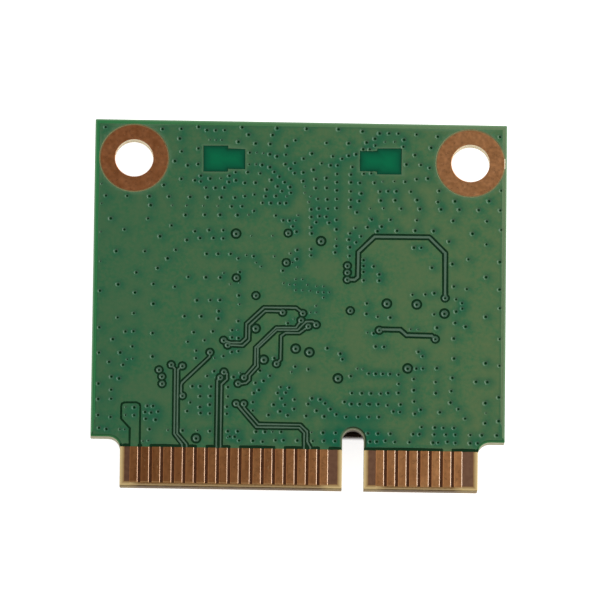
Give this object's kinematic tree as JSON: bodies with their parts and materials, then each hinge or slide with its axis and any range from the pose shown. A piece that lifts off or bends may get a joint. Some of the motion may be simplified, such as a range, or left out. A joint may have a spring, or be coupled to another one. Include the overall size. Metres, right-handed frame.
{
  "type": "laptop wifi card",
  "caption": "Half-size laptop wireless card: green circuit board with edge contacts, two screw lands, antenna receptacles and a shield can underneath.",
  "frame": {"origin": "centre of the bounding box's footprint, on the outer face of the shield can's lid, where the card rests with its solder side up", "axes": "+X along the contact edge, +Y from the contact edge to the screw holes, +Z out of the board's solder side"},
  "size_m": [0.0296, 0.0268, 0.0033],
  "materials": {
    "solder_mask": "satin green solder mask over copper on glass-epoxy laminate",
    "contact_gold": "gold flash over copper, satin",
    "tinned_steel": "satin tinned sheet",
    "cream_moulding": "matt moulding",
    "moulded_epoxy": "matt moulded epoxy",
    "capacitor_ceramic": "bare ceramic with tinned ends",
    "filter_ceramic": "white ceramic with tinned ends",
    "resistor_body": "black glazed film on ceramic with tinned ends",
    "crystal_package": "satin metal lid on a ceramic base"
  },
  "bodies": {
    "root": {"circuit_board": "solder_mask", "shield_fence": "tinned_steel", "shield_lid": "tinned_steel", "antenna_receptacle_shell_1": "contact_gold", "antenna_receptacle_shell_2": "contact_gold", "antenna_receptacle_base_1": "cream_moulding", "antenna_receptacle_base_2": "cream_moulding", "antenna_receptacle_pin_1": "contact_gold", "antenna_receptacle_pin_2": "contact_gold", "antenna_capacitor_1": "capacitor_ceramic", "antenna_capacitor_2": "capacitor_ceramic", "antenna_coil_1": "filter_ceramic", "antenna_coil_2": "filter_ceramic", "radio_chip": "moulded_epoxy", "front_end_module_1": "moulded_epoxy", "front_end_module_2": "moulded_epoxy", "band_filter_1": "filter_ceramic", "band_filter_2": "filter_ceramic", "memory_chip": "moulded_epoxy", "reference_crystal": "crystal_package", "power_regulator": "moulded_epoxy", "power_inductor_1": "moulded_epoxy", "power_inductor_2": "moulded_epoxy", "radio_capacitor_1": "capacitor_ceramic", "radio_capacitor_2": "capacitor_ceramic", "radio_capacitor_3": "capacitor_ceramic", "radio_capacitor_4": "capacitor_ceramic", "radio_capacitor_5": "capacitor_ceramic", "radio_capacitor_6": "capacitor_ceramic", "radio_capacitor_7": "capacitor_ceramic", "radio_capacitor_8": "capacitor_ceramic", "radio_capacitor_9": "capacitor_ceramic", "radio_capacitor_10": "capacitor_ceramic", "radio_resistor_1": "resistor_body", "radio_resistor_2": "resistor_body", "radio_resistor_3": "resistor_body", "radio_resistor_4": "resistor_body", "radio_coil_1": "filter_ceramic", "radio_coil_2": "filter_ceramic", "radio_coil_3": "filter_ceramic", "radio_coil_4": "filter_ceramic", "contact_resistor_1": "resistor_body", "contact_resistor_2": "resistor_body", "contact_resistor_3": "resistor_body", "contact_resistor_4": "resistor_body", "module_capacitor_1": "capacitor_ceramic", "module_capacitor_2": "capacitor_ceramic", "module_capacitor_3": "capacitor_ceramic", "module_capacitor_4": "capacitor_ceramic", "crystal_capacitor_1": "capacitor_ceramic", "crystal_capacitor_2": "capacitor_ceramic", "supply_capacitor_1": "capacitor_ceramic", "supply_capacitor_2": "capacitor_ceramic", "supply_capacitor_3": "capacitor_ceramic", "supply_resistor_1": "resistor_body", "supply_resistor_2": "resistor_body", "supply_resistor_3": "resistor_body"}
  },
  "joints": []
}
